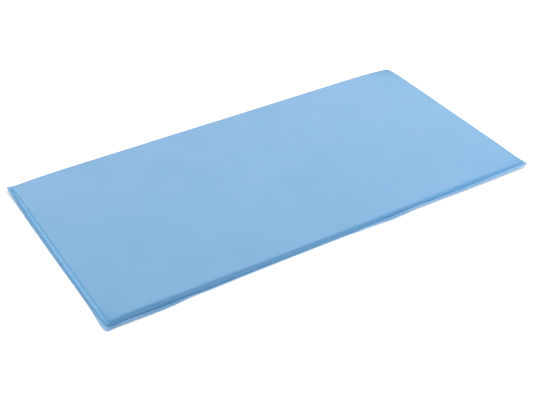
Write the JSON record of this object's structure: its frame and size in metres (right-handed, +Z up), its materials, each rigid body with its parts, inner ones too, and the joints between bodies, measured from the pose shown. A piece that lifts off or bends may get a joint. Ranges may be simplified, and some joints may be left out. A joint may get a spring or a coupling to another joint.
{
  "type": "padded floor mat",
  "caption": "Flat rectangular gym floor mat: a foam slab sealed in smooth vinyl, with a thin welded flange round its foot.",
  "frame": {"origin": "middle of the underside, on the floor", "axes": "+X along the mat's length, +Y across its width, +Z up, out of the top face"},
  "size_m": [1.218, 0.618, 0.02],
  "materials": {
    "top_vinyl": "satin",
    "base_vinyl": "matte",
    "foam": "matte"
  },
  "bodies": {
    "root": {"top_cover": "top_vinyl", "base_cover": "base_vinyl", "foam_core": "foam"}
  },
  "joints": []
}
